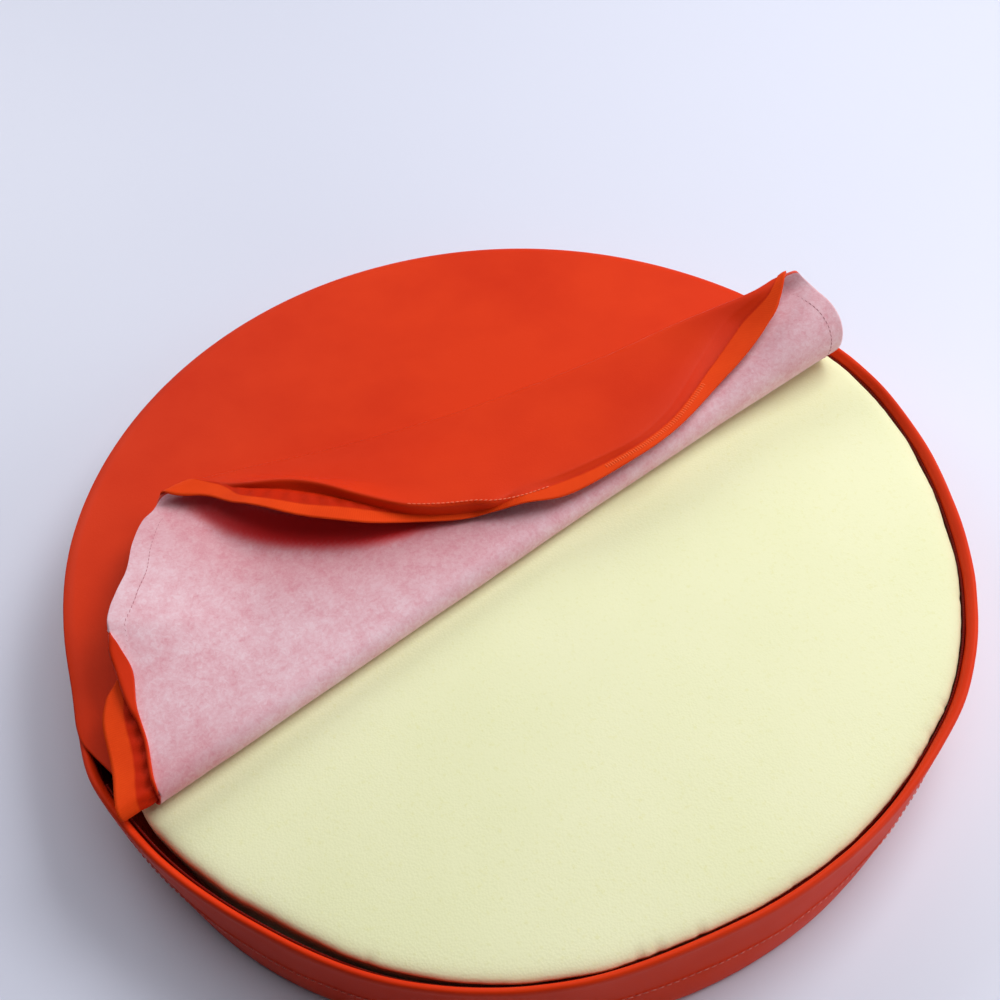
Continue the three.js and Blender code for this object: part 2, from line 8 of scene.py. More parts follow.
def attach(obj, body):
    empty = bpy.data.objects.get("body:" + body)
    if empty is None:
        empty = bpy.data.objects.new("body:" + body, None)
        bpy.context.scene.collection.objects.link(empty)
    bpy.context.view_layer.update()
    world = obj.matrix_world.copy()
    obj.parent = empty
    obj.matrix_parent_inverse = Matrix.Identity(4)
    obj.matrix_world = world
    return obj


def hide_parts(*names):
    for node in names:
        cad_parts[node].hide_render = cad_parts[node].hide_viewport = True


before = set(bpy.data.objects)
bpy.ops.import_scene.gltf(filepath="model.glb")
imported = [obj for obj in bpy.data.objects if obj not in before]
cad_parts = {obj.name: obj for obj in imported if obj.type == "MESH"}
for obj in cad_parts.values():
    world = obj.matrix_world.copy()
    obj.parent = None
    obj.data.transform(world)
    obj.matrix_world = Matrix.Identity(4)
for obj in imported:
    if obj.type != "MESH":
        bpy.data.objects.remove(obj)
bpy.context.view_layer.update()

# The studio: a plain pale tabletop under six soft lamps, the strongest high at the right,
# and the camera at the photograph's angle. Meshes are made in millimetres, and turned into
# metres when a piece is finished.
MM = 0.001
SRGB_KNEE, SRGB_SLOPE, SRGB_OFFSET, SRGB_POWER = 0.04045, 12.92, 0.055, 2.4
TABLE_HALF = 3.0
TABLE_COLOUR = (219, 223, 241)
TABLE_ROUGHNESS = 0.42
ROOM_TINT = (0.90, 0.92, 1.0, 1.0)
ROOM_LIGHT = 0.03
CAMERA_AT = (-2.3, -371.7, 536.9)
CAMERA_DOWN = 51.01
CAMERA_ROLL = -3.81
CAMERA_LENS = 43.2
CAMERA_FILM = 36


def rgb(red, green, blue):
    """A screen colour as the shader wants it."""
    def one(value):
        share = value / 255
        if share <= SRGB_KNEE:
            return share / SRGB_SLOPE
        return ((share + SRGB_OFFSET) / (1 + SRGB_OFFSET)) ** SRGB_POWER
    return (one(red), one(green), one(blue), 1.0)


def material(name, colour, roughness, **values):
    """A material with its colour, roughness and plain sockets set on the shader."""
    made = bpy.data.materials.new(name)
    made.use_nodes = True
    shader = made.node_tree.nodes["Principled BSDF"]
    shader.inputs["Base Color"].default_value = rgb(*colour)
    shader.inputs["Roughness"].default_value = roughness
    for key, value in values.items():
        shader.inputs[key.replace("_", " ")].default_value = value
    return made, made.node_tree, shader


def piece(name, bm, *materials):
    """Turns a mesh made in millimetres into a smooth object in metres."""
    bmesh.ops.scale(bm, vec=(MM, MM, MM), verts=bm.verts)
    mesh = bpy.data.meshes.new(name)
    bm.to_mesh(mesh)
    bm.free()
    mesh.polygons.foreach_set("use_smooth", [True] * len(mesh.polygons))
    for made in materials:
        mesh.materials.append(made)
    obj = bpy.data.objects.new(name, mesh)
    bpy.context.collection.objects.link(obj)
    return obj


table_paint, _, _ = material("table_paint", TABLE_COLOUR, TABLE_ROUGHNESS)
bm = bmesh.new()
bmesh.ops.create_grid(bm, x_segments=2, y_segments=2, size=TABLE_HALF / MM)
table_top = piece("table_top", bm, table_paint)

world = bpy.data.worlds.new("studio")
world.use_nodes = True
room = world.node_tree.nodes["Background"]
room.inputs["Color"].default_value = ROOM_TINT
room.inputs["Strength"].default_value = ROOM_LIGHT
bpy.context.scene.world = world
bpy.context.scene.view_settings.view_transform = "Standard"

LAMPS = (  # name, place, width, height, power, colour
    ("window", (1.1, 0.68, 1.54), 1.4, 0.8, 26, (1.0, 0.99, 0.98)),
    ("ceiling", (0.3, 0.2, 2.3), 1.6, 1.6, 13, (0.99, 0.99, 1.0)),
    ("back_left", (-1.5, 1.6, 1.4), 1.8, 1.0, 19, (0.99, 0.99, 1.0)),
    ("back", (0.1, 2.2, 1.6), 2.0, 1.0, 7, (1.0, 0.99, 0.98)),
    ("side", (1.9, -1.2, 0.35), 1.0, 0.5, 9, (1.0, 0.99, 0.98)),
    ("right", (2.0, 0.0, 1.0), 1.0, 0.8, 7, (1.0, 0.99, 0.98)),
)
for name, place, width, height, power, tint in LAMPS:
    lamp = bpy.data.lights.new(name, "AREA")
    lamp.shape = "RECTANGLE"
    lamp.size = width
    lamp.size_y = height
    lamp.energy = power
    lamp.color = tint
    lit = bpy.data.objects.new(name, lamp)
    lit.location = place
    lit.rotation_euler = (-Vector(place)).to_track_quat("-Z", "Y").to_euler()
    bpy.context.collection.objects.link(lit)

camera = bpy.data.objects.new("camera", bpy.data.cameras.new("camera"))
camera.data.lens = CAMERA_LENS
camera.data.sensor_width = CAMERA_FILM
camera.matrix_world = (
    Matrix.Translation(Vector(CAMERA_AT) * MM)
    @ Matrix.Rotation(math.radians(90 - CAMERA_DOWN), 4, "X")
    @ Matrix.Rotation(math.radians(CAMERA_ROLL), 4, "Z")
)
bpy.context.collection.objects.link(camera)
bpy.context.scene.camera = camera

# Bottom panel: a plain round of red leatherette, cut with a margin and sewn to the foot
# of the side band all round. It lies flat on the table, a little puckered at its seam.
COVER_RADIUS = 225
CLOTH, WALL_CLOTH = 1.4, 1.3
WALL_TOP = 46
TOP_OUT, FOOT_OUT, FOAM_IN = 1, 2, 3
RIM = (  # compass angle, how far the top and the foot stand out, how far in the foam is
    (-27, 6.4, 0.6, 0), (-13, 6.6, 0.3, 0), (0, 5.4, 0, 0), (25, 6.8, 0, 0), (48, 3, 0, 0),
    (66, 1.9, 0, 0), (100, 2.9, 0, 0), (122, 4, 0, 0), (150, 3.6, 0, 0), (176, 1.7, 0, 0),
    (192, -1.1, 0, 3), (200, -1.2, -1, 9), (211, 4.5, -0.5, 9), (220, 3.6, 0.3, 3),
    (224, 3.2, 0.6, 2.5), (240, 1, 3.4, 2), (256, 3, 3.6, 1), (272, 1.4, 3, 0),
    (288, -2, 2.4, 0), (304, -0.6, 1.2, 0), (320, 2.4, 0, 0), (333, 6.4, 0.6, 0),
    (347, 6.6, 0.3, 0), (360, 5.4, 0, 0), (385, 6.8, 0, 0),
)
RED = (222, 56, 14)
RED_DEEP = (212, 48, 11)
RED_ROUGHNESS, RED_POLISH = 0.5, 0.05


def smooth(share):
    """Nothing at 0, one at 1, level at both ends."""
    t = min(max(share, 0.0), 1.0)
    return t * t * (3 - 2 * t)


def read(table, at, column):
    """One column of a table, rising and falling softly between its rows."""
    last = len(table) - 1
    if at <= table[0][0]:
        return table[0][column]
    if at >= table[last][0]:
        return table[last][column]
    row = 0
    while table[row + 1][0] < at:
        row += 1

    def slope(k):
        before, after = table[max(k - 1, 0)], table[min(k + 1, last)]
        return (after[column] - before[column]) / (after[0] - before[0])

    here, there = table[row], table[row + 1]
    span = there[0] - here[0]
    t = (at - here[0]) / span
    rise = t * t * (3 - 2 * t)
    leave = t * (1 - t) * (1 - t) * span * slope(row)
    arrive = t * t * (t - 1) * span * slope(row + 1)
    return here[column] + (there[column] - here[column]) * rise + leave + arrive


def wall_radius(angle, z):
    """Radius of the cushion's wall, which leans from its foot to its top."""
    foot = COVER_RADIUS + read(RIM, angle % 360, FOOT_OUT)
    top = COVER_RADIUS + read(RIM, angle % 360, TOP_OUT)
    return foot + (top - foot) * smooth(z / WALL_TOP)


def lathe(rows, steps):
    """A ring of quads with a row number at each point, ready to be set in place."""
    bm = bmesh.new()
    number = bm.verts.layers.int.new("row")
    chain = []
    for k in range(rows):
        point = bm.verts.new((1.0 + k, 0, 0))
        point[number] = k
        chain.append(point)
    edges = [bm.edges.new((a, b)) for a, b in zip(chain, chain[1:])]
    bmesh.ops.spin(bm, geom=chain + edges, axis=(0, 0, 1), cent=(0, 0, 0),
                   angle=2 * math.pi, steps=steps, use_merge=True)
    return bm, number


def ripple(x, y, z, size, depth):
    """A smooth random rise or dip of the cloth, always the same at the same place."""
    return depth * noise.noise(Vector((x, y, z)) / size)


def thicken(obj, thickness):
    """Gives a sheet its thickness, half of it to each side of the mesh."""
    sheet = obj.modifiers.new("thickness", "SOLIDIFY")
    sheet.thickness = thickness * MM
    sheet.offset = 0
    return sheet


def node(tree, kind, **values):
    """A shader node with its settings and socket values."""
    made = tree.nodes.new(kind)
    for key, value in values.items():
        label = key.replace("_", " ")
        if label in made.inputs:
            made.inputs[label].default_value = value
        else:
            setattr(made, key, value)
    return made


def join(tree, *links):
    """Joins nodes: each link is a node, its output, the next node and its input."""
    for start, output, end, entry in links:
        tree.links.new(start.outputs[output], end.inputs[entry])


def blend(tree, low, high):
    """A node that goes from one screen colour to another."""
    return node(tree, "ShaderNodeMix", data_type="RGBA", A=rgb(*low), B=rgb(*high))


def leather_grain():
    """Fine pebbled grain and slow clouding of the coated cloth, shared by its panels."""
    tree = bpy.data.node_groups.new("leather_grain", "ShaderNodeTree")
    for name, kind in (("Height", "NodeSocketFloat"), ("Cloud", "NodeSocketFloat")):
        tree.interface.new_socket(name, in_out="OUTPUT", socket_type=kind)
    place = node(tree, "ShaderNodeTexCoord")
    out = node(tree, "NodeGroupOutput")
    pebble = node(tree, "ShaderNodeTexVoronoi", Scale=1150, Randomness=0.9)
    pebble.feature = "SMOOTH_F1"
    dust = node(tree, "ShaderNodeTexNoise", Scale=2600, Detail=2)
    cloud = node(tree, "ShaderNodeTexNoise", Scale=11, Detail=4, Roughness=0.55)
    both = node(tree, "ShaderNodeMath", operation="MULTIPLY_ADD")
    both.inputs[1].default_value = 0.35
    join(tree, *((place, "Object", texture, "Vector") for texture in (pebble, dust, cloud)),
         (dust, "Fac", both, 0), (pebble, "Distance", both, 2), (both, 0, out, "Height"),
         (cloud, "Fac", out, "Cloud"))
    return tree


GRAIN = leather_grain()


def leatherette():
    """Red coated cloth: a satin skin with a fine grain and a little clouding."""
    made, tree, shader = material("red_leatherette", RED, RED_ROUGHNESS,
                                  Specular_IOR_Level=0.09)
    grain = node(tree, "ShaderNodeGroup")
    grain.node_tree = GRAIN
    tone = blend(tree, RED_DEEP, RED)
    spread = node(tree, "ShaderNodeMapRange", From_Min=0.35, From_Max=0.62)
    gloss = node(tree, "ShaderNodeMapRange", From_Min=0.3, From_Max=0.7,
                 To_Min=RED_ROUGHNESS + RED_POLISH, To_Max=RED_ROUGHNESS - RED_POLISH)
    bump = node(tree, "ShaderNodeBump", Strength=0.22, Distance=0.00025)
    join(tree, (grain, "Cloud", spread, "Value"), (spread, "Result", tone, "Factor"),
         (tone, "Result", shader, "Base Color"), (grain, "Cloud", gloss, "Value"),
         (gloss, "Result", shader, "Roughness"), (grain, "Height", bump, "Height"),
         (bump, "Normal", shader, "Normal"))
    return made


red_cloth = leatherette()

BOTTOM_ROWS = (  # how far in from the foot of the wall, height of the cloth's middle
    (225, 0.75), (170, 0.75), (110, 0.75), (60, 0.75), (30, 0.75), (16, 0.75), (11, 0.8),
    (8, 0.9), (6.6, 1.2), (6.0, 1.9), (5.95, 2.6),
)
BOTTOM_STEPS = 240
PUCKER_REACH, PUCKER_ROUND, PUCKER_SIZE, PUCKER_RISE = 30, 60, 2.5, 0.25
MERGE = 0.1
AT_AXIS = 0.02
bm, row_of = lathe(len(BOTTOM_ROWS), BOTTOM_STEPS)
for point in bm.verts:
    inwards, z = BOTTOM_ROWS[point[row_of]]
    a = math.atan2(point.co.y, point.co.x)
    radius = max(wall_radius(math.degrees(a), 0) - inwards, AT_AXIS)
    if inwards < PUCKER_REACH:
        pucker = ripple(PUCKER_ROUND * math.cos(a), PUCKER_ROUND * math.sin(a), 0,
                        PUCKER_SIZE, PUCKER_RISE)
        z += max(pucker, 0)
    point.co = (radius * math.cos(a), radius * math.sin(a), z)
bmesh.ops.remove_doubles(bm, verts=bm.verts, dist=MERGE)
bmesh.ops.recalc_face_normals(bm, faces=bm.faces)
bottom_panel = piece("cover_bottom", bm, red_cloth)
thicken(bottom_panel, WALL_CLOTH)
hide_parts("bottom_panel")
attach(bottom_panel, "root")

# Side band: one long strip of the same cloth, joined into a ring and sewn to both round
# panels. Round the open part of the zip its top edge is turned in and hangs as a lip,
# and a fine raised seam runs round it half way up.
OPEN_FROM = 206
OPEN_TO = 408
OPEN_EASE = 7
SEWN_IN, SEWN_Z, OPEN_IN, OPEN_Z = 0, 1, 2, 3
BAND = (  # inwards and height where the panel is sewn on, then where the zip lies open
    (5.3, 2.4, 5.3, 2.4),
    (5.2, 1.0, 5.2, 1.0),
    (4.0, 0.75, 4.0, 0.75),
    (2.6, 0.8, 2.6, 0.8),
    (1.5, 2.0, 1.5, 2.0),
    (1.1, 4.5, 1.1, 4.5),
    (0.8, 11, 0.8, 11),
    (0.7, 18, 0.7, 18),
    (0.75, 22.6, 0.75, 22.6),
    (0.8, 23.5, 0.8, 23.5),
    (0.25, 24.1, 0.25, 24.1),
    (0.8, 24.7, 0.8, 24.7),
    (0.8, 26, 0.8, 26),
    (0.8, 34, 0.8, 34),
    (0.9, 40, 0.9, 40),
    (0.95, 43.6, 1.2, 44.6),
    (1.0, 45.6, 1.0, 46.9),
    (1.5, 46.8, 1.1, 48.5),
    (2.3, 47.3, 1.8, 49.4),
    (3.1, 47.3, 2.8, 49.3),
    (3.7, 46.8, 4.1, 48.0),
    (3.9, 45.6, 4.9, 45.6),
    (3.9, 44.2, 5.0, 43.1),
)
LIP_CREST = 2.8
LIP_LEAN = (  # compass angle, how wide the lip slopes down towards the foam
    (206, 0.8), (225, 0.55), (245, 0.3), (308, 0.3), (322, 0.65), (336, 1), (408, 1),
)
LIP_BELOW = 6
FREE_TOP, FREE_EASE = 52, 8
WALL_WAVES = ((1, 55, 0.9), (4, 16, 0.3))  # squeeze in height, size, depth
LIP_WAVE_FROM, LIP_WAVE_EASE, LIP_WAVE_SIZE, LIP_WAVE = 38, 10, 26, 0.5
BAND_STEPS = 360


def wall_wave(x, y, z):
    """Slow waves and smaller dents of the wall, the smaller ones flatter in height."""
    return sum(ripple(x, y, squeeze * z, size, depth)
               for squeeze, size, depth in WALL_WAVES)


def openness(angle):
    """One where the zip lies open, nothing where the panel is sewn to the band."""
    past = (angle - OPEN_FROM) % 360
    whole = OPEN_TO - OPEN_FROM
    if past > whole:
        return 0.0
    return smooth(past / OPEN_EASE) * smooth((whole - past) / OPEN_EASE)


bm, row_of = lathe(len(BAND), BAND_STEPS)
for point in bm.verts:
    row = BAND[point[row_of]]
    a = math.atan2(point.co.y, point.co.x)
    opened = openness(math.degrees(a))
    angle = math.degrees(a) % 360
    lean = read(LIP_LEAN, angle + 360 if angle < OPEN_FROM - 90 else angle, 1)
    lip = row[OPEN_IN]
    if row[OPEN_Z] > WALL_TOP - LIP_BELOW:
        lip = min(lip, LIP_CREST) + max(lip - LIP_CREST, 0) * lean
    inwards = row[SEWN_IN] + (lip - row[SEWN_IN]) * opened
    z = row[SEWN_Z] + (row[OPEN_Z] - row[SEWN_Z]) * opened
    x, y = COVER_RADIUS * math.cos(a), COVER_RADIUS * math.sin(a)
    free = smooth(z / FREE_EASE) * smooth((FREE_TOP - z) / FREE_EASE)
    top_wave = ripple(x, y, 0, LIP_WAVE_SIZE, LIP_WAVE) * opened
    top_wave *= smooth((z - LIP_WAVE_FROM) / LIP_WAVE_EASE)
    radius = wall_radius(math.degrees(a), z) - inwards + wall_wave(x, y, z) * free
    radius += top_wave / 2
    point.co = (radius * math.cos(a), radius * math.sin(a), z + top_wave)
bmesh.ops.recalc_face_normals(bm, faces=bm.faces)
band = piece("cover_side_band", bm, red_cloth)
thicken(band, WALL_CLOTH)
finer = band.modifiers.new("finer", "SUBSURF")
finer.levels = finer.render_levels = 1
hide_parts("boxing")
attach(band, "root")

# Topstitching of the side band: one row of red thread half way up the wall, sewn
# through both layers of the seam there, each stitch a short soft bar of thread.
STITCH_PITCH = 3.4
STITCH_LONG = 2.9
STITCH_THICK = 0.46
STITCH_Z = 24.1
STITCH_SUNK = 0.25
BAR_SIDES, BAR_RINGS = 6, 4
THREAD_RED = (228, 118, 104)


def thread_bar():
    """The soft bar that every stitch and zip tooth is a copy of."""
    bm = bmesh.new()
    bmesh.ops.create_uvsphere(bm, u_segments=BAR_SIDES, v_segments=BAR_RINGS, radius=1)
    mesh = bpy.data.meshes.new("thread_bar")
    bm.to_mesh(mesh)
    bm.free()
    return mesh


BAR = thread_bar()


def stitch(bm, at, along, out, length, thick):
    """One bar of thread lying along the seam on the face that looks out."""
    side = out.cross(along).normalized()
    face = along.cross(side).normalized()
    turn = Matrix((along.normalized(), side, face)).transposed().to_4x4()
    size = Matrix.Diagonal((length / 2, thick / 2, thick / 2, 1))
    place = Matrix.Translation(at) @ turn @ size
    BAR.transform(place)
    bm.from_mesh(BAR)
    BAR.transform(place.inverted())


thread_red, _, _ = material("thread_red", THREAD_RED, 0.6)
bm = bmesh.new()
count = round(2 * math.pi * COVER_RADIUS / STITCH_PITCH)
for k in range(count):
    a = 2 * math.pi * k / count
    out = Vector((math.cos(a), math.sin(a), 0))
    along = Vector((-math.sin(a), math.cos(a), 0))
    x, y = COVER_RADIUS * out.x, COVER_RADIUS * out.y
    radius = wall_radius(math.degrees(a), STITCH_Z) + wall_wave(x, y, STITCH_Z)
    at = out * (radius - STITCH_SUNK + CLOTH / 2) + Vector((0, 0, STITCH_Z))
    stitch(bm, at, along, out, STITCH_LONG, STITCH_THICK)
band_stitching = piece("band_stitching", bm, thread_red)
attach(band_stitching, "root")

# Foam core: one round of pale yellow upholstery foam, sawn with eased edges that have
# softened and chipped a little. It fills the cover and carries the folded panel.
FOAM_INSET = 7.3
FOAM_FLOOR = 1.75
PANEL_RADIUS = 220.6
PANEL_LEVEL = 49.6
CROWN = 1.8
FOAM_BELOW_PANEL = 1.4
FOAM_STEPS = 600
FOAM_MERGE = 0.05
FOAM_MIDDLE = 0.01
FOAM_FOOT = ((7, 0), (4, 0.4), (2, 1.6), (0.6, 3.8), (0, 7), (0, 14), (0, 22), (0, 30))
FOAM_EDGE = (  # how far in from the foam's wall, how far down from its crowned top
    (0, 12), (0, 8.5), (0.1, 5.6), (0.5, 3.8), (1.3, 2.4), (2.6, 1.5), (4.4, 0.9),
    (7, 0.55), (11, 0.3), (17, 0.15), (24, 0.06), (32, 0.02), (40, 0),
)
FOAM_SWELL = (  # compass angle, how far the top edge swells out over the zip
    (0, 0.5), (44, 0.5), (60, 0), (190, 0), (206, 0.2), (240, 0.8), (256, 1.8), (272, 2.6),
    (290, 2.9), (310, 2.8), (324, 1.4), (336, 0.6), (360, 0.5),
)
FOAM_TOP = (0.76, 0.7, 0.63, 0.56, 0.49, 0.42, 0.35, 0.28, 0.21, 0.14, 0.07, 0)
FOAM_TOP_WHOLE = 0.82
EDGE_REACH = 40
FRAY_SLOW, FRAY_FINE = (0, 0.09, 0.5), (3, 0.025, 0.22)  # height in the noise, size, depth
FRAY_FROM, FRAY_EASE = 22, 20
SWELL_DOWN, SWELL_EASE = 6, 3
DENT_SEED, DENT_SIZE, DENT = 7, 34, 0.12
PITS = (  # compass angle, how far in from the foam's wall, width, depth
    (281, 1.6, 1.4, 1.2), (283, 1.2, 1.8, 1.0), (288, 1.4, 1.2, 0.9), (322, 1.8, 1.3, 0.9),
    (325.5, 1.4, 1.6, 0.8), (330, 1.8, 1.2, 0.8), (300, 1.4, 1.2, 0.6),
    (252, 1.6, 1.4, 0.7), (346, 1.4, 1.2, 0.6),
)
PIT_IN, PIT_SHARE = 1.6, 0.6
FOAM_YELLOW = (242, 243, 202)
FOAM_CREAM = (238, 240, 195)
FOAM_SPECK = (250, 249, 236)


def panel_height(x, y):
    """Height of the top cloth's middle where it lies on the crowned foam."""
    share = (x * x + y * y) / (PANEL_RADIUS * PANEL_RADIUS)
    return PANEL_LEVEL + CROWN * (1 - min(share, 1))


def foam_radius(angle, z):
    """Radius of the foam's wall, inside the cover."""
    return wall_radius(angle, z) - FOAM_INSET - read(RIM, angle % 360, FOAM_IN)


foam_rows = len(FOAM_FOOT) + len(FOAM_EDGE) + len(FOAM_TOP) + 1
bm, row_of = lathe(foam_rows, FOAM_STEPS)
for point in bm.verts:
    k = point[row_of]
    a = math.atan2(point.co.y, point.co.x)
    angle = math.degrees(a)
    if k == 0:
        radius, z = FOAM_MIDDLE, FOAM_FLOOR
    elif k <= len(FOAM_FOOT):
        inset, up = FOAM_FOOT[k - 1]
        z = FOAM_FLOOR + up
        radius = foam_radius(angle, z) - inset
    elif k <= len(FOAM_FOOT) + len(FOAM_EDGE):
        inset, lower = FOAM_EDGE[k - 1 - len(FOAM_FOOT)]
        x, y = math.cos(a), math.sin(a)
        uneven = ripple(x, y, *FRAY_SLOW) + ripple(x, y, *FRAY_FINE)
        fade = smooth((FRAY_FROM - inset) / FRAY_EASE)
        swell = read(FOAM_SWELL, angle % 360, 1) * smooth((SWELL_DOWN - lower) / SWELL_EASE)
        radius = foam_radius(angle, WALL_TOP) - inset + swell * fade + uneven * fade
        z = panel_height(radius * x, radius * y) - FOAM_BELOW_PANEL - lower
        for at, pit_inset, width, depth in PITS:
            aside = math.radians((angle - at + 180) % 360 - 180) * radius
            inside = (inset - pit_inset) / (PIT_IN * width)
            near = math.exp(-((aside / width) ** 2) - inside ** 2)
            z -= depth * near
            radius -= PIT_SHARE * depth * near
    else:
        share = FOAM_TOP[k - 1 - len(FOAM_FOOT) - len(FOAM_EDGE)]
        radius = (foam_radius(angle, WALL_TOP) - EDGE_REACH) * share / FOAM_TOP_WHOLE
        radius = max(radius, FOAM_MIDDLE)
        z = panel_height(radius, 0) - FOAM_BELOW_PANEL
    x, y = radius * math.cos(a), radius * math.sin(a)
    if k > len(FOAM_FOOT):
        z += ripple(x, y, DENT_SEED, DENT_SIZE, DENT)
    point.co = (x, y, z)
bmesh.ops.remove_doubles(bm, verts=bm.verts, dist=FOAM_MERGE)
bmesh.ops.recalc_face_normals(bm, faces=bm.faces)


def foam_cells():
    """Open cells of the foam: fine pinholes, and a faint slow mottling."""
    made, tree, shader = material("pale_foam", FOAM_YELLOW, 0.95, Specular_IOR_Level=0.15)
    place = node(tree, "ShaderNodeTexCoord")
    cells = node(tree, "ShaderNodeTexVoronoi", Scale=900, Randomness=1.0)
    holes = node(tree, "ShaderNodeTexNoise", Scale=420, Detail=3, Roughness=0.7)
    cloud = node(tree, "ShaderNodeTexNoise", Scale=9, Detail=5, Roughness=0.55)
    spread = node(tree, "ShaderNodeMapRange", From_Min=0.35, From_Max=0.65)
    tone = blend(tree, FOAM_CREAM, FOAM_YELLOW)
    speck = blend(tree, FOAM_CREAM, FOAM_SPECK)
    speck.blend_type = "MULTIPLY"
    pin = node(tree, "ShaderNodeMapRange", From_Min=0.56, From_Max=0.74)
    height = node(tree, "ShaderNodeMath", operation="ADD")
    bump = node(tree, "ShaderNodeBump", Strength=0.2, Distance=0.0003)
    join(tree, *((place, "Object", texture, "Vector") for texture in (cells, holes, cloud)),
         (cloud, "Fac", spread, "Value"), (spread, "Result", tone, "Factor"),
         (holes, "Fac", pin, "Value"), (pin, "Result", speck, "Factor"),
         (tone, "Result", speck, "A"), (speck, "Result", shader, "Base Color"),
         (cells, "Distance", height, 0), (holes, "Fac", height, 1),
         (height, 0, bump, "Height"), (bump, "Normal", shader, "Normal"))
    return made


foam_core = piece("foam_core", bm, foam_cells())
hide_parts("foam")
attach(foam_core, "root")

# Lower zip half: a narrow woven tape that stands inside the open lip of the side band,
# sewn to it along its foot, with a nylon coil of teeth along its free top edge.
ZIP_IN, ZIP_LEAN = 5.1, 1.1
ZIP_TOP, ZIP_RISE = 41.6, 3.6
ZIP_WIDE = 12.2
ZIP_STEPS, ZIP_ACROSS = 220, 6
TOOTH_PITCH = 1.5
TOOTH_LONG = 3.4
TOOTH_THICK = 1.15
TOOTH_AT, TOOTH_SUNK, TOOTH_LEAN = 0.93, 0.3, 0.1
LOWER_LONG, LOWER_THICK = 0.8, 0.7
TAPE_THICK = 0.8
# Painted shade: the lower tape and its coil are coloured dark maroon for the shade they
# stand in deep inside the lip.
LOWER_TAPE_SHADED = (132, 20, 8)
LOWER_TAPE_SHADED_DEEPER = (104, 14, 6)
LOWER_COIL_SHADED = (112, 16, 8)


def woven(name, light, deep, roughness, inner):
    """Close zip tape: fine ribs on the tape's own UV map, and the part inside its seam line
    given the inner colour, which on the upper tape is painted shade.
    """
    made, tree, shader = material(name, light, roughness, Specular_IOR_Level=0.06)
    place = node(tree, "ShaderNodeUVMap", uv_map="tape")
    ribs = node(tree, "ShaderNodeTexWave", Scale=300, Distortion=0.5, Detail=1)
    ribs.bands_direction = "X"
    strands = node(tree, "ShaderNodeTexWave", Scale=640, Distortion=0.4, Detail=1)
    strands.bands_direction = "Y"
    cloud = node(tree, "ShaderNodeTexNoise", Scale=55, Detail=4)
    weave = node(tree, "ShaderNodeMath", operation="MULTIPLY")
    tone = blend(tree, deep, light)
    spread = node(tree, "ShaderNodeMath", operation="MULTIPLY_ADD")
    spread.inputs[1].default_value = 0.45
    bump = node(tree, "ShaderNodeBump", Strength=0.3, Distance=0.0002)
    parts = node(tree, "ShaderNodeSeparateXYZ")
    seam = node(tree, "ShaderNodeMapRange", From_Min=-0.0008, From_Max=0.0004)
    inner_shade = blend(tree, inner, light)
    join(tree, *((place, "UV", texture, "Vector") for texture in (ribs, strands, cloud)),
         (place, "UV", parts, "Vector"), (parts, "Y", seam, "Value"),
         (seam, "Result", inner_shade, "Factor"), (ribs, "Fac", weave, 0),
         (strands, "Fac", weave, 1), (weave, 0, spread, 0), (cloud, "Fac", spread, 2),
         (spread, 0, tone, "Factor"), (tone, "Result", inner_shade, "B"),
         (inner_shade, "Result", shader, "Base Color"), (weave, 0, bump, "Height"),
         (bump, "Normal", shader, "Normal"))
    return made


def ribbon(name, steps, across, place, *materials):
    """A strip of tape: place(share along, share across) gives a point and its UV."""
    bm = bmesh.new()
    uv = bm.loops.layers.uv.new("tape")
    bmesh.ops.create_grid(bm, x_segments=steps, y_segments=across, size=0.5)
    laid = {}
    for point in bm.verts:
        laid[point] = place(point.co.x + 0.5, point.co.y + 0.5)
        point.co = laid[point][0]
    for face in bm.faces:
        for loop in face.loops:
            loop[uv].uv = laid[loop.vert][1]
    return piece(name, bm, *materials)


def lower_zip(t, s):
    """Where a place of the lower tape stands: lower and further out by the foam's bulge."""
    angle = OPEN_FROM + OPEN_EASE + (OPEN_TO - OPEN_FROM - 2 * OPEN_EASE) * t
    lean = read(LIP_LEAN, angle, 1)
    z = ZIP_TOP + ZIP_RISE * lean - ZIP_WIDE * (1 - s)
    a = math.radians(angle)
    radius = wall_radius(angle, z) - ZIP_IN - ZIP_LEAN * lean + ripple(angle, 0, z, 9, 0.12)
    at = Vector((radius * math.cos(a), radius * math.sin(a), z))
    return at, (math.radians(angle) * COVER_RADIUS * MM, ZIP_WIDE * s * MM)


shaded_tape = woven("zip_tape_lower_shaded", LOWER_TAPE_SHADED, LOWER_TAPE_SHADED_DEEPER, 0.8, LOWER_TAPE_SHADED)
lower_tape = ribbon("zip_tape_lower", ZIP_STEPS, ZIP_ACROSS, lower_zip, shaded_tape)
thicken(lower_tape, TAPE_THICK)
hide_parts("rim_tape")
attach(lower_tape, "root")

shaded_coil, _, _ = material("zip_coil_lower_shaded", LOWER_COIL_SHADED, 0.4)
bm = bmesh.new()
arc = math.radians(OPEN_TO - OPEN_FROM - 2 * OPEN_EASE)
teeth = round(arc * COVER_RADIUS / TOOTH_PITCH)
for k in range(teeth):
    at, _ = lower_zip((k + 0.5) / teeth, TOOTH_AT)
    out = Vector((at.x, at.y, 0)).normalized()
    along = Vector((0, 0, 1)) + out * TOOTH_LEAN
    stitch(bm, at - out * TOOTH_SUNK, along, out, LOWER_LONG * TOOTH_LONG,
           LOWER_THICK * TOOTH_THICK)
lower_coil = piece("zip_coil_lower", bm, shaded_coil)
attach(lower_coil, "root")

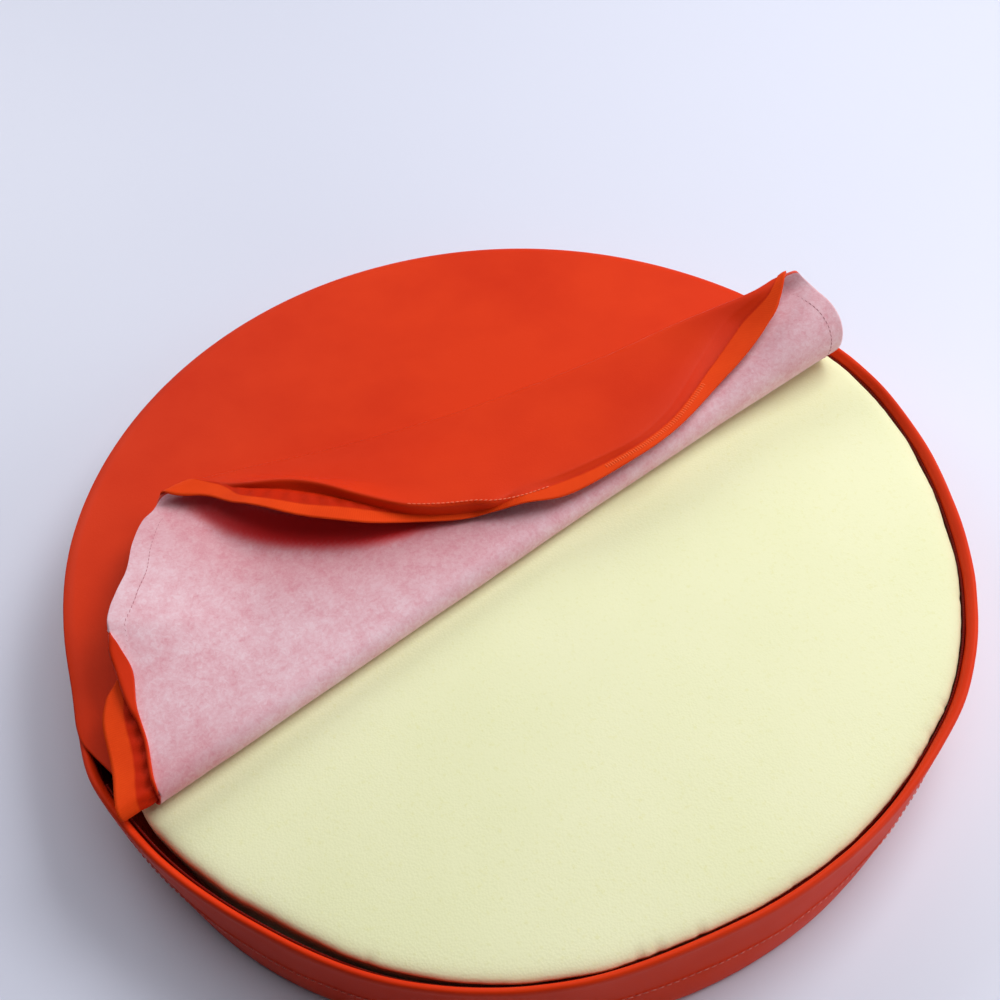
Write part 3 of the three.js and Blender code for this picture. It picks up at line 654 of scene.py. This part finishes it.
# Top panel: a plain round of the leatherette, still sewn to the far half of the band.
# Its near half is rolled back over itself, fleecy side up, and the tip of that flap is
# turned back once more so that it shows red again, with its zipped edge loose.
FOLD_TURN = math.radians(35.9)
ALONG = Vector((math.cos(FOLD_TURN), math.sin(FOLD_TURN)))
AWAY = Vector((-math.sin(FOLD_TURN), math.cos(FOLD_TURN)))
FIRST_FOLD = (  # place along the fold, how far it lies beyond the middle, its radius
    (-230, 18.5, 7), (-150, 18.8, 6), (0, 19, 5.6), (65, 19.5, 6.6), (130, 21.6, 9.6),
    (165, 23.8, 13.3), (190, 26, 17.1), (225, 28.4, 21.3),
)
SECOND_LEFT = 127.9
SECOND_RIGHT = 22.8
CORNER_OUT = 221.6
SECOND_FOLD = (  # share of the way from left to right, how far it bows, its radius
    (0, 0, 3.6), (0.05, 3.5, 3.6), (0.1, 1, 3.6), (0.16, -2, 3.6), (0.27, -9, 3.6),
    (0.38, -13, 3.6), (0.48, -15.5, 3.6), (0.6, -15.5, 3.8), (0.72, -13, 4),
    (0.84, -7, 4.4), (0.95, -4, 6.2), (1, 1.5, 8.4),
)
TIP_CLEAR = 30
EDGE_LIFT = (  # share of the way from left to right, how far the loose edge stands off
    (0, 0), (0.06, 6), (0.12, 12.5), (0.2, 10), (0.38, 5.5), (0.55, 2.5), (0.75, 2), (1, 0),
)
LIFT_REACH = 40
LEFT_WAVE = (  # rim angle in the frame of the folds, how far the flap's left end stands up
    (115, 0), (127.9, 2), (134, 7), (141, 12), (149, 13), (152, 10), (156, 5.5), (162, 2),
    (168, 0), (200, 0),
)
WAVE_REACH = 75
WAVE_START = 30
RIM_TURNED = (  # rim angle in the frame of the folds, how far the edge is turned in
    (-90, 0), (-14, 0), (-6, 3), (5, 1.8), (10, 0.8), (14, -2.4), (18, -6.5), (20, -10),
    (22, -11.5), (24, -11.5), (26.5, -5.5), (29, 3), (32, 8.6), (40, 11), (49, 14),
    (56, 18.5), (63, 24), (71, 26), (79, 25), (86, 23), (92, 23.2), (97, 24), (103, 23.8),
    (109, 21), (115, 16.5), (121, 12), (126, 8.4), (129.5, 8.4), (131.5, 6.8), (136, 7.9),
    (141, 10.2), (145, 7.7), (147.5, 5.9), (150, 5.8), (152.5, 10.5), (156, 15.3),
    (161, 14.5), (166, 15), (171, 12.3), (175, 10), (186, 3), (192, 0), (270, 0),
)
FOLLOW_FROM = 130
FOLLOW_REACH = 90
RIM_OVER, RIM_EASE = 3.2, 0.8
RIM_DROP, RIM_ROUND = 1.5, 6
LATE = 14
LOOSE_START = -20
LOOSE_EDGE = (  # rim angle, then out and up for the cloth's crest, its foot and its end
    (18, -11, 0, -5.5, 0, 0, 0), (24.5, -8, -0.4, -2.8, -2, 0, -2.2),
    (30, -8, -1, -1.6, -4.6, 0, -5), (38, -8, -1.3, -1.6, -5.4, 0, -5.6),
    (50, -6, -0.2, -1.8, -3.9, 0, -4), (57, -4.6, 0.35, -1.5, -2.6, 0, -3),
    (64, -5, 0.5, -1, -2.7, 0, -3), (71, -6.8, 0.4, -3, -2.3, 0, -2.5),
    (76.5, -8.2, 0.3, -4.4, -1.5, -0.5, -1.8), (80.5, -4.2, 0.6, -4.4, -4, -4, -5.8),
    (84, -7.2, 0.6, -7.4, -6.5, -5, -8.9), (92, -6.1, 1, -6.6, -6.5, -4, -8.4),
    (100, -7.1, 4.2, -5, -1.8, 3, -2.2), (107.5, -8.4, 5, -5.6, -1, 4, -1.6),
    (114, -6.2, 3, -4.6, -0.8, 3, -1), (119, -9, 0.6, -5.5, -0.2, 0, -0.4),
    (126, -11, 0, -5.5, 0, 0, 0),
)
MARGIN = (  # rim angle, how far the cut edge is rolled over on to the fleece
    (150, 0), (151.5, 1.4), (153, 4.4), (155, 6), (156.5, 6), (158.5, 4.6), (160.5, 2.6),
    (162.5, 1), (164, 0.8), (171, 0.8), (174, 0),
)
MARGIN_ROLL, MARGIN_EASE = 1.1, 1.6
MARGIN_LEAST = 0.05
SHARP_FROM, SHARP_EASE = 0.2, 0.6


def turned_in(rim):
    """Cloth beyond the visible edge: out to the roll, round it and back again."""
    margin = max(read(MARGIN, rim, 1), 0)
    return 2 * margin + math.pi * MARGIN_ROLL * smooth(margin / MARGIN_EASE)


def edge_radius(rim):
    """How far from the middle of the flat panel its edge lies at this rim angle."""
    return PANEL_RADIUS - read(RIM_TURNED, rim + 360 if rim < -90 else rim, 1)


def on_rim(rim, beyond=0.0):
    """A place on the flat panel, measured outwards from its edge at this rim angle."""
    radius, a = edge_radius(rim) + beyond, math.radians(rim)
    return Vector((radius * math.cos(a), radius * math.sin(a)))


SECOND_START = on_rim(SECOND_LEFT)
SECOND_SPAN = on_rim(SECOND_RIGHT, CORNER_OUT - edge_radius(SECOND_RIGHT)) - SECOND_START
SECOND_LENGTH = SECOND_SPAN.length
SECOND_ALONG = SECOND_SPAN.normalized()
SECOND_ACROSS = Vector((-SECOND_ALONG.y, SECOND_ALONG.x))


def turn_tip(flat):
    """Turns the tip back over the second fold: a place on the flap, and a height off it."""
    start = flat - SECOND_START
    across = start.dot(SECOND_ACROSS)
    if across < -TIP_CLEAR:
        return flat, 0.0
    part = start.dot(SECOND_ALONG) / SECOND_LENGTH
    radius = read(SECOND_FOLD, part, 2)
    beyond = across - read(SECOND_FOLD, part, 1)
    angle = (beyond + radius) / radius
    if angle <= 0:
        return flat, 0.0
    straight = max(angle - math.pi, 0) * radius
    bent = min(angle, math.pi)
    reach = radius * (math.sin(bent) - 1) - straight
    lift = read(EDGE_LIFT, part, 1) * smooth(straight / LIFT_REACH)
    return flat + SECOND_ACROSS * (reach - beyond), -radius * (1 - math.cos(bent)) - lift


def follow_rim(x, y):
    """The sewn part of the panel follows the uneven rim of the side band."""
    radius = math.hypot(x, y)
    if radius < FOLLOW_FROM:
        return x, y
    angle = math.degrees(math.atan2(y, x)) % 360
    opened = openness(angle)
    late = min(opened, openness(angle - LATE)) if angle > 180 else opened
    pull = (read(RIM, angle, TOP_OUT) - RIM_EASE * opened) * (1 - late)
    pull += RIM_OVER * (1 - opened)
    scale = 1 + pull * smooth((radius - FOLLOW_FROM) / FOLLOW_REACH) / radius
    return x * scale, y * scale


def folded(flat):
    """Where a place of the flat panel comes to lie once both folds are made."""
    place, off = turn_tip(flat)
    turned = off != 0
    radius = read(FIRST_FOLD, place.x, 2)
    start = read(FIRST_FOLD, place.x, 1) - radius
    past = place.y - start
    angle = math.pi if turned else min(max(past / radius, 0), math.pi)
    level = past - math.pi * radius
    straight = level if turned else max(level, 0)
    away = -start - radius * math.sin(angle) + straight
    if past <= 0 and not turned:
        away = -place.y
    away += off * math.sin(angle)
    rise = radius * (1 - math.cos(angle)) + off * math.cos(angle)
    if straight > 0:
        rim = math.degrees(math.atan2(place.y, place.x))
        near = 1 - smooth((PANEL_RADIUS - place.length) / WAVE_REACH)
        rise += read(LEFT_WAVE, rim, 1) * near * smooth(straight / WAVE_START)
    x = place.x * ALONG.x + away * AWAY.x
    y = place.x * ALONG.y + away * AWAY.y
    if past <= 0 and not turned:
        sewn = 1 - openness(math.degrees(math.atan2(y, x)))
        near_edge = 1 - (PANEL_RADIUS - math.hypot(x, y)) / RIM_ROUND
        rise -= RIM_DROP * sewn * max(near_edge, 0) ** 2
        x, y = follow_rim(x, y)
    return Vector((x, y, panel_height(x, y) + rise))


def red_side(flat, probe=0.4):
    """Which way the red face looks at a place of the panel."""
    across = folded(flat + Vector((probe, 0))) - folded(flat - Vector((probe, 0)))
    down = folded(flat + Vector((0, probe))) - folded(flat - Vector((0, probe)))
    return down.cross(across).normalized()


def loose_edge(rim, beyond):
    """How far out and how high off the smooth flap the cloth lies near its edge."""
    margin = read(MARGIN, rim, 1)
    if margin > MARGIN_LEAST:
        past = beyond - margin
        if past <= 0:
            return beyond, 0.0
        roll = MARGIN_ROLL * smooth(margin / MARGIN_EASE) + MARGIN_LEAST
        bent = min(past / roll, math.pi)
        flat = max(past - math.pi * roll, 0)
        return margin + roll * math.sin(bent) - flat, -roll * (1 - math.cos(bent))
    if beyond < LOOSE_START or not LOOSE_EDGE[0][0] < rim < LOOSE_EDGE[-1][0]:
        return beyond, 0.0
    crest, crest_up, foot, foot_up, end, end_up = (
        read(LOOSE_EDGE, rim, k) for k in range(1, 7))
    sharp = smooth((crest_up - SHARP_FROM) / SHARP_EASE)
    rows = (  # how far out on the flat cloth, how far out now, up over a crest, up if plain
        (-20, -20, 0, 0),
        (-15.5, (crest - 20) / 2 - 0.6, 0.45 * crest_up, 0.06 * foot_up),
        (-12, crest - 0.9, 0.97 * crest_up, 0.26 * foot_up),
        (-10.9, crest, crest_up, 0.36 * foot_up),
        (-9.8, 0.85 * crest + 0.15 * foot, 0.8 * crest_up + 0.2 * foot_up, 0.48 * foot_up),
        (-5.5, foot, foot_up, foot_up),
        (0, end, end_up, end_up),
    )
    up = sharp * read(rows, beyond, 2) + (1 - sharp) * read(rows, beyond, 3)
    return read(rows, beyond, 1), up


PANEL_CELLS = 200
ROUND_FROM, EDGE_POWER = 0.5, 5
CLOTH_WAVES = ((0, 60, 0.5), (5, 22, 0.12))  # height in the noise, size, depth
WAVES_EASE = 30
FLEECE = (236, 202, 212)
FLEECE_DEEP = (220, 150, 163)
# Painted shadow: the fleece under the flap's loose edge is coloured deep red, a painted
# shadow with red bounced light in it, fading out past the edge.
FLEECE_SHADOW_RED = (224, 36, 38)
# Painted shade: the darker red that the fleece's painted shade starts from, before it
# deepens to the painted shadow red.
FLEECE_PAINTED_SHADE = (160, 40, 52)
CUT_EDGE = (222, 74, 56)
PAINTED_SHADOW_UNDER_EDGE = (  # rim angle, how far out under the loose edge the painted shadow reaches, how much
    (18, -16, 0), (80, -17, 0), (84, -17, 0.4), (88, -15.5, 0.8), (92, -12, 1),
    (100, 1.2, 1), (107.5, 9, 1), (114, 7, 0.96), (120, -2, 0.8), (124, -8, 0.4),
)
PAINTED_SHADOW_FROM, PAINTED_SHADOW_TO = 18, 125
PAINTED_SHADOW_PAST_ROLL = 20
PAINTED_SHADOW_BAND, PAINTED_SHADOW_FADE = 7, 13
# Painted shade: a softer, wider darkening towards red beyond the painted shadow under the
# loose edge.
PAINTED_SHADE, PAINTED_SHADE_LEAST, PAINTED_SHADE_FADE = 0.38, 0.25, 62
# Painted shade on the fleece near the left end of the first fold's roll, where its lower
# side turns away from the light.
ROLL_PAINTED_SHADE, ROLL_LEFT, ROLL_EASE = 0.34, -140, 60
ROLL_LOW, ROLL_RISE = 52, 26


def evened(t, crowd=0.3):
    """Spaces the grid's lines closer together near the rim."""
    return t * (1 + crowd - crowd * t * t)


bm = bmesh.new()
flat_uv = bm.loops.layers.uv.new("flat")
painted_red_shade = bm.verts.layers.float.new("painted_red_shade")
bmesh.ops.create_grid(bm, x_segments=PANEL_CELLS, y_segments=PANEL_CELLS, size=1)
flats = {}
for point in bm.verts:
    s, t = evened(point.co.x), evened(point.co.y)
    u, q = s * math.sqrt(1 - t * t / 2), t * math.sqrt(1 - s * s / 2)
    share = math.hypot(u, q)
    rim = math.degrees(math.atan2(q, u))
    edge = edge_radius(rim)
    reach = PANEL_RADIUS + (edge + turned_in(rim) - PANEL_RADIUS) * share ** EDGE_POWER
    flats[point] = Vector((u, q)) * reach
    beyond, up = loose_edge(rim, share * reach - edge)
    if up:
        place = on_rim(rim, beyond)
        point.co = folded(place) + red_side(place) * up
    elif share > ROUND_FROM:
        point.co = folded(Vector((u, q)).normalized() * (edge + beyond))
    else:
        point.co = folded(flats[point])
for face in bm.faces:
    for loop in face.loops:
        loop[flat_uv].uv = flats[loop.vert] * MM
bmesh.ops.reverse_faces(bm, faces=bm.faces)
bm.normal_update()
# Painted shade: each fleece point between the folds gets an amount of painted red shadow,
# full under the loose edge and fading further out.
over = []
for rim in range(PAINTED_SHADOW_FROM, PAINTED_SHADOW_TO):
    out, strength = read(PAINTED_SHADOW_UNDER_EDGE, rim, 1), read(PAINTED_SHADOW_UNDER_EDGE, rim, 2)
    over.append((folded(on_rim(rim, out)).xy, strength))
for point in bm.verts:
    flat = flats[point]
    if flat.y > PAINTED_SHADOW_PAST_ROLL and (flat - SECOND_START).dot(SECOND_ACROSS) < 0:
        for edge_point, strength in over:
            away = (point.co.xy - edge_point).length - PAINTED_SHADOW_BAND
            deep = strength * smooth((PAINTED_SHADOW_FADE - away) / PAINTED_SHADOW_FADE)
            # painted shade, weaker and wider than the painted shadow
            soft_shade = PAINTED_SHADE * (PAINTED_SHADE_LEAST + (1 - PAINTED_SHADE_LEAST) * strength)
            soft_shade *= smooth((PAINTED_SHADE_FADE - away) / PAINTED_SHADE_FADE)
            point[painted_red_shade] = max(point[painted_red_shade], deep, soft_shade)
    # painted shade near the roll's left end
    bulge = smooth((ROLL_LEFT - flat.x) / ROLL_EASE)
    bulge *= smooth((ROLL_LOW - flat.y) / ROLL_RISE)
    point[painted_red_shade] = max(point[painted_red_shade], ROLL_PAINTED_SHADE * bulge)
    wave = sum(ripple(flat.x, flat.y, *dent) for dent in CLOTH_WAVES)
    point.co += point.normal * wave * smooth(flat.y / WAVES_EASE)


def fleece_nap():
    """Brushed backing of the leatherette: pale fibres over the red cloth, turned to painted
    shade and painted deep red shadow where the mesh marks it.
    """
    made, tree, shader = material("pink_fleece", FLEECE, 0.95, Specular_IOR_Level=0.1,
                                  Sheen_Weight=0.25, Sheen_Roughness=0.5)
    place = node(tree, "ShaderNodeUVMap", uv_map="flat")
    fibres = node(tree, "ShaderNodeTexNoise", Scale=520, Detail=5, Roughness=0.7,
                  Distortion=0.8)
    tufts = node(tree, "ShaderNodeTexNoise", Scale=120, Detail=4, Roughness=0.6)
    cloud = node(tree, "ShaderNodeTexNoise", Scale=14, Detail=4, Roughness=0.6)
    both = node(tree, "ShaderNodeMix", data_type="FLOAT", Factor=0.45)
    third = node(tree, "ShaderNodeMix", data_type="FLOAT", Factor=0.15)
    spread = node(tree, "ShaderNodeMapRange", From_Min=0.32, From_Max=0.6)
    tone = blend(tree, FLEECE_DEEP, FLEECE)
    bump = node(tree, "ShaderNodeBump", Strength=0.35, Distance=0.0005)
    # Painted shade and painted shadow: the marked amount darkens the fleece towards deep
    # red.
    shade_amount = node(tree, "ShaderNodeAttribute", attribute_name="painted_red_shade")
    shade_tone = blend(tree, FLEECE_PAINTED_SHADE, FLEECE_SHADOW_RED)
    shade_mix = blend(tree, FLEECE, FLEECE_SHADOW_RED)
    join(tree, *((place, "UV", texture, "Vector") for texture in (fibres, tufts, cloud)),
         (fibres, "Fac", both, "A"), (tufts, "Fac", both, "B"),
         (both, "Result", third, "A"), (cloud, "Fac", third, "B"),
         (third, "Result", spread, "Value"),
         (spread, "Result", tone, "Factor"), (tone, "Result", shade_mix, "A"),
         (shade_amount, "Fac", shade_mix, "Factor"), (shade_amount, "Fac", shade_tone, "Factor"),
         (shade_tone, "Result", shade_mix, "B"), (shade_mix, "Result", shader, "Base Color"),
         (both, "Result", bump, "Height"), (bump, "Normal", shader, "Normal"))
    return made


cut_edge, _, _ = material("cut_edge", CUT_EDGE, 0.8)
top_panel = piece("cover_top", bm, red_cloth, fleece_nap(), cut_edge)
thick = thicken(top_panel, CLOTH)
thick.material_offset = 1
thick.material_offset_rim = 2
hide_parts("top_panel")
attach(top_panel, "root")

# Upper zip half: the woven tape sewn along the flap's loose edge on its red side, with
# its nylon coil next to the seam and its selvedge standing out past the cloth.
TAPE = (  # rim angle, then out and up for the tape's inner edge, seam line, outer edge
    (-11, -15, 2.1, -8, 2.1, -1.5, 2.1), (18, -15, 2.1, -8, 2.1, -1.5, 2.1),
    (22, -13, 1.4, -12, 1.4, -10.5, 1.4), (24.5, -5.5, -0.3, -5, -0.4, -1.8, -0.4),
    (30, -1.4, -3.5, -1, -3.5, 10.5, -4), (38, -1, -4.3, -0.6, -4.3, 10.5, -4.8),
    (50, -1.4, -2.7, -1, -2.7, 5.2, -3.2), (57, -1.2, -1.4, -0.8, -1.4, 4.6, -2),
    (64, -0.8, -1.5, -0.4, -1.5, 5.8, -2.1), (71, -2.7, -1.1, -2.3, -1.1, 5.4, -1.7),
    (76.5, -3.8, -0.3, -3.4, -0.3, 0.8, -0.9),
    (80.5, -4.6, -3.6, -4.2, -3.8, -1.9, -4.4), (84, -7.8, -7.2, -7, -7.4, -3.8, -8),
    (92, -7, -6.4, -5.8, -6.6, -1.8, -7), (100, -4.6, -0.6, -0.2, -0.9, 8.9, -0.8),
    (107.5, -5.4, 0.2, 5.4, -0.3, 13.2, -0.3), (114, -4.6, 0.5, 3.2, 0.2, 9.2, 0),
    (118, -8.5, 1, -6, 0.9, 4.4, 0.6), (122, -7, 1.1, -6.6, 1.1, 4.6, 0.8),
    (127, -6, 1.5, -5.6, 1.5, -1, 1.5), (130, -16, 2.1, -9, 2.1, -5, 2.1),
    (147, -16, 2.1, -9, 2.1, -4, 2.1), (154, -6, 2.1, -3, 2.1, 3.5, 2.1),
    (155.5, -2.5, 2.1, 2, 2.1, 6, 2.1), (157, -2.5, 2.1, 5, 2.1, 10, 2.1),
    (158.5, -2.5, 2.1, 6, 2.1, 14, 2.1), (162, -2.5, 2.1, 7.5, 2.1, 17, 2.1),
    (168, -2.5, 2.1, 8.5, 2.1, 18, 2.1), (174.5, -2.5, 2.1, 8.5, 2.1, 17, 2.1),
    (177.5, -6, 2.1, -4, 2.1, 1, 2.1), (179, -6, 2.1, -4, 2.1, 0, 2.1),
)
TAPE_FROM, TAPE_TO = -11, 179
TAPE_STEPS, TAPE_ACROSS = 620, 10
TAPE_ORANGE = (238, 74, 18)
TAPE_SHADE = (218, 56, 12)
# Painted shade: the tape inside its seam line is coloured darker red for the shade under
# the cloth's turned edge.
TAPE_INNER_SHADE = (196, 38, 6)
GATHER_LONG, GATHER_RISE = 9.0, 1 / 16
SEAM_SHARE = 0.4
COIL_FROM, COIL_TO = 43, 63
COIL_RISE = 0.15
COIL_ORANGE = (248, 96, 42)


def upper_zip(t, s):
    """Where a place of the upper tape lies along the loose edge."""
    rim = TAPE_FROM + (TAPE_TO - TAPE_FROM) * t
    inner, inner_up, seam, seam_up, outer, outer_up = (
        read(TAPE, rim, k) for k in range(1, 7))
    length = math.radians(rim) * PANEL_RADIUS
    if s < SEAM_SHARE:
        part = s / SEAM_SHARE
        out, up = inner + (seam - inner) * part, inner_up + (seam_up - inner_up) * part
        gather = math.sin(math.pi * part) * math.sin(2 * math.pi * length / GATHER_LONG)
        up += GATHER_RISE * (seam - inner) * gather
    else:
        part = (s - SEAM_SHARE) / (1 - SEAM_SHARE)
        out, up = seam + (outer - seam) * part, seam_up + (outer_up - seam_up) * part
    flat = on_rim(rim, out)
    at = folded(flat) + red_side(flat) * up
    return at, (length * MM, (out - seam) * MM)


orange_tape = woven("zip_tape_orange", TAPE_ORANGE, TAPE_SHADE, 0.6, TAPE_INNER_SHADE)
upper_tape = ribbon("zip_tape_upper", TAPE_STEPS, TAPE_ACROSS, upper_zip, orange_tape)
thicken(upper_tape, TAPE_THICK)
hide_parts("flap_tape")
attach(upper_tape, "root")

coil_orange, _, _ = material("zip_coil_orange", COIL_ORANGE, 0.5, Specular_IOR_Level=0.2)
bm = bmesh.new()
teeth = round(math.radians(COIL_TO - COIL_FROM) * PANEL_RADIUS / TOOTH_PITCH)
for k in range(teeth):
    rim = COIL_FROM + (COIL_TO - COIL_FROM) * (k + 0.5) / teeth
    t = (rim - TAPE_FROM) / (TAPE_TO - TAPE_FROM)
    inner, _ = upper_zip(t, SEAM_SHARE)
    outer, _ = upper_zip(t, SEAM_SHARE + 0.01)
    across = (outer - inner).normalized()
    face = red_side(on_rim(rim, 1))
    at = inner + across * (TOOTH_LONG / 2) + face * COIL_RISE
    stitch(bm, at, across, face, TOOTH_LONG, TOOTH_THICK)
upper_coil = piece("zip_coil_upper", bm, coil_orange)
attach(upper_coil, "root")

# Stitching of the flap: a light row right on the loose edge over the zip, and the plain
# rows left on the fleece side where the round was sewn to the band.
THREAD_LIGHT = (246, 120, 84)
THREAD_PLAIN = (186, 116, 128)
SEWN_PITCH, SEWN_SHARE = 2.6, 0.84
LIGHT_THICK, PLAIN_THICK = 0.5, 0.36
FLEECE_SIDE = -0.8
AHEAD = 0.4
TOP_ROW = (  # rim angle in the frame of the folds, how far out, how far up
    (72, -2.4, 0.2), (76.5, -3.4, 0.4), (80.5, -4.4, 1.2), (84, -7.4, 1.2), (93, -6.4, 1.7),
)
LEFT_ROW = (  # the same without a height, on the fleece
    (130.5, -8.5), (134, -9.2), (139, -9.3), (144, -9.5), (147, -10), (149.5, -8),
    (151.5, -5.5), (153, -1),
)
RIGHT_ROW = ((4, -9), (10, -8.6), (14, -8.8), (18, -9.2), (20, -10.5), (23, -12))


def sewn_row(bm, row, thick):
    """A row of stitches along the flap's edge, on its red side or on its fleece."""
    start, stop = row[0][0], row[-1][0]
    count = round(math.radians(stop - start) * PANEL_RADIUS / SEWN_PITCH)
    for k in range(count):
        rim = start + (stop - start) * (k + 0.5) / count
        out = read(row, rim, 1)
        rise = read(row, rim, 2) if row is TOP_ROW else FLEECE_SIDE
        flat, ahead = on_rim(rim, out), on_rim(rim + AHEAD, out)
        face = red_side(flat)
        at = folded(flat) + face * rise
        along = folded(ahead) - folded(flat)
        stitch(bm, at, along, face if rise > 0 else -face, SEWN_SHARE * SEWN_PITCH, thick)


thread_light, _, _ = material("thread_light", THREAD_LIGHT, 0.6)
thread_plain, _, _ = material("thread_plain", THREAD_PLAIN, 0.7)
bm = bmesh.new()
sewn_row(bm, TOP_ROW, LIGHT_THICK)
edge_stitching = piece("edge_stitching", bm, thread_light)
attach(edge_stitching, "root")

bm = bmesh.new()
for row in (LEFT_ROW, RIGHT_ROW):
    sewn_row(bm, row, PLAIN_THICK)
flap_stitching = piece("flap_stitching", bm, thread_plain)
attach(flap_stitching, "root")
